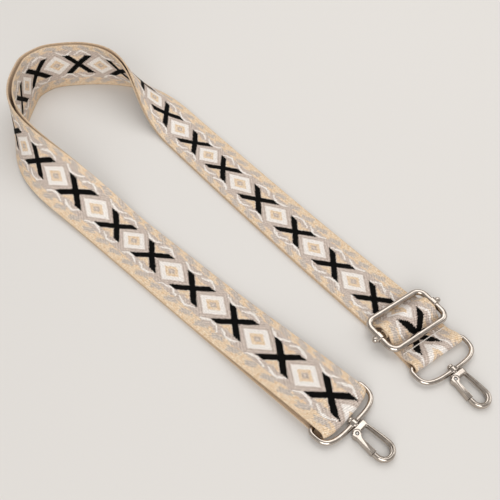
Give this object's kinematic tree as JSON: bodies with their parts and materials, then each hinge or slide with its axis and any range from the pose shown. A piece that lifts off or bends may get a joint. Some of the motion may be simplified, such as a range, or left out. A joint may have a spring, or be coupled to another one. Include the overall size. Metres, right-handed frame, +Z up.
{
  "type": "detachable bag strap",
  "caption": "Patterned woven webbing shoulder strap, doubled back through a wire slider, with a swivel snap hook on a D-loop at each end.",
  "frame": {"origin": "on the table under the middle of the strap's box", "axes": "+X along the two arms toward the hooks, +Y toward the arm that carries the slider, +Z up from the table"},
  "size_m": [0.4438, 0.1488, 0.0384],
  "materials": {
    "webbing": "jacquard weave",
    "thread": "twisted thread",
    "nickel": "polished nickel plate",
    "steel": "plain steel"
  },
  "bodies": {
    "strap": {"strap_webbing": "webbing", "hook_a_stitching": "thread"},
    "slider": {"slider_bar": "nickel", "slider_webbing_crest": "webbing", "slider_webbing_end": "webbing", "slider_end_stitching": "thread"},
    "slider_frame": {"slider_frame": "nickel"},
    "hook_a_d_loop": {"hook_a_d_loop": "nickel"},
    "hook_a_head": {"hook_a_swivel_post": "nickel", "hook_a_body": "nickel", "hook_a_gate_pin": "steel"},
    "hook_a_gate": {"hook_a_gate": "nickel", "hook_a_gate_spring": "steel"},
    "hook_b_d_loop": {"hook_b_d_loop": "nickel"},
    "hook_b_head": {"hook_b_swivel_post": "nickel", "hook_b_body": "nickel", "hook_b_gate_pin": "steel"},
    "hook_b_gate": {"hook_b_gate": "nickel", "hook_b_gate_spring": "steel"}
  },
  "joints": [
    {"name": "slider_travel", "type": "slide", "parent": "strap", "child": "slider", "axis": [0.9976, -0.0698, 0], "range_m": [-0.17, 0]},
    {"name": "slider_frame_shift", "type": "slide", "parent": "slider", "child": "slider_frame", "axis": [0.9877, -0.1565, 0], "range_m": [-0.0015, 0.0015]},
    {"name": "hook_a_swing", "type": "hinge", "parent": "strap", "child": "hook_a_d_loop", "pos_m": [0.18109, 0.03014, 0.00335], "axis": [0.1565, 0.9877, 0], "range_deg": [-120, 120]},
    {"name": "hook_a_swivel", "type": "hinge", "parent": "hook_a_d_loop", "child": "hook_a_head", "pos_m": [0.19718, 0.02759, 0.00286], "axis": [0.9872, -0.1564, -0.0303], "continuous": true},
    {"name": "hook_a_gate_hinge", "type": "hinge", "parent": "hook_a_head", "child": "hook_a_gate", "pos_m": [0.19963, 0.02325, 0.00276], "axis": [0.0299, -0.0047, 0.9995], "range_deg": [0, 26], "stiffness_Nm_per_rad": 0.02, "springref_deg": -20.05},
    {"name": "hook_b_swing", "type": "hinge", "parent": "strap", "child": "hook_b_d_loop", "pos_m": [0.1626, -0.03989, 0.00335], "axis": [-0.021, 0.9998, 0], "range_deg": [-120, 120]},
    {"name": "hook_b_swivel", "type": "hinge", "parent": "hook_b_d_loop", "child": "hook_b_head", "pos_m": [0.17889, -0.03955, 0.00286], "axis": [0.9993, 0.021, -0.0303], "continuous": true},
    {"name": "hook_b_gate_hinge", "type": "hinge", "parent": "hook_b_head", "child": "hook_b_gate", "pos_m": [0.18207, -0.04338, 0.00276], "axis": [0.0303, 0.0006, 0.9995], "range_deg": [0, 26], "stiffness_Nm_per_rad": 0.02, "springref_deg": -20.05}
  ]
}
